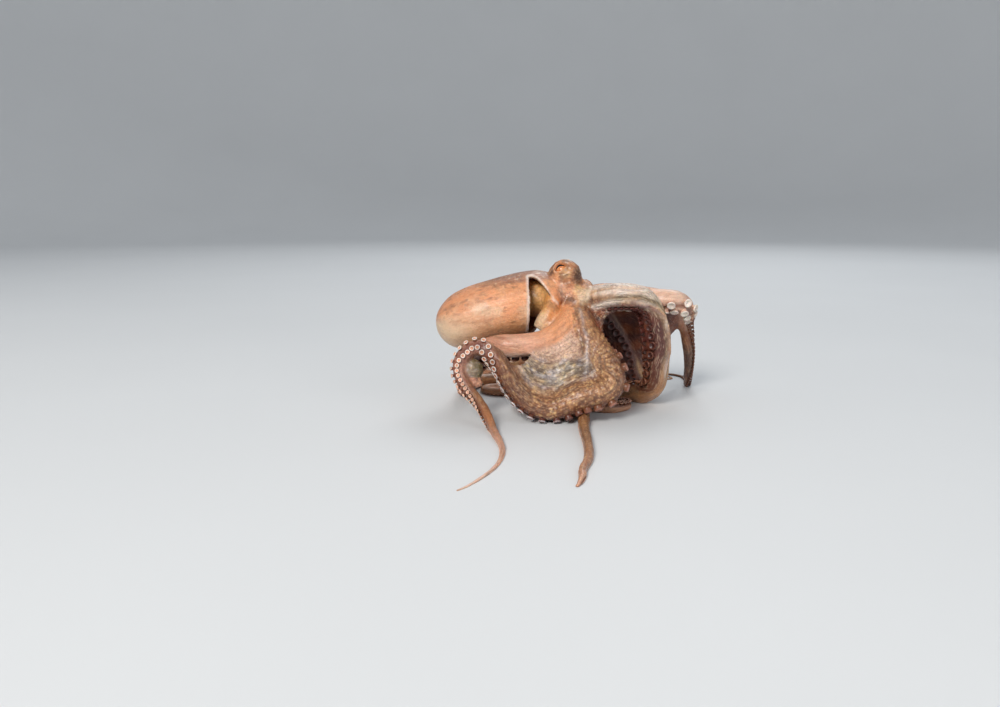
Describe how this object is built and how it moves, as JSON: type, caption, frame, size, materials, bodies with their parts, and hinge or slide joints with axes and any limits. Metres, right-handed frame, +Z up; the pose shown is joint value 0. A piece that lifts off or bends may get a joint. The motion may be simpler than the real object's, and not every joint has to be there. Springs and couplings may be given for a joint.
{
  "type": "octopus",
  "caption": "Common octopus at life size, resting with its mantle and head raised on arched arms, the other arms coiled and trailing on the floor.",
  "frame": {"origin": "middle of the whole animal's box at floor level", "axes": "+X from the tip of the mantle towards the head, +Y from the side seen first to the far side, +Z up"},
  "size_m": [0.2222, 0.3794, 0.1165],
  "materials": {
    "skin": "wet, mottled skin, semi-gloss",
    "web": "wet, thin skin, semi-gloss",
    "funnel": "wet, smooth skin, semi-gloss",
    "eye": "polished"
  },
  "bodies": {
    "root": {"head": "skin", "eye_right": "eye", "eye_left": "eye", "arm_right_1_base": "skin", "arm_right_1_middle": "skin", "arm_right_1_outer": "skin", "arm_right_1_tip": "skin", "arm_right_2_base": "skin", "arm_right_2_middle": "skin", "arm_right_2_outer": "skin", "arm_right_2_tip": "skin", "arm_right_3_base": "skin", "arm_right_3_middle": "skin", "arm_right_3_outer": "skin", "arm_right_3_tip": "skin", "arm_right_4_base": "skin", "arm_right_4_middle": "skin", "arm_right_4_outer": "skin", "arm_right_4_tip": "skin", "arm_left_1_base": "skin", "arm_left_1_middle": "skin", "arm_left_1_outer": "skin", "arm_left_1_tip": "skin", "arm_left_2_base": "skin", "arm_left_2_middle": "skin", "arm_left_2_outer": "skin", "arm_left_2_tip": "skin", "arm_left_3_base": "skin", "arm_left_3_middle": "skin", "arm_left_3_outer": "skin", "arm_left_3_tip": "skin", "arm_left_4_base": "skin", "arm_left_4_middle": "skin", "arm_left_4_outer": "skin", "arm_left_4_tip": "skin", "web_right_1_2": "web", "web_right_2_3": "web", "web_right_3_4": "web", "web_right_4_left_4": "web", "web_left_4_3": "web", "web_left_3_2": "web", "web_left_2_1": "web", "web_left_1_right_1": "web", "mantle": "skin", "funnel": "funnel"}
  },
  "joints": []
}
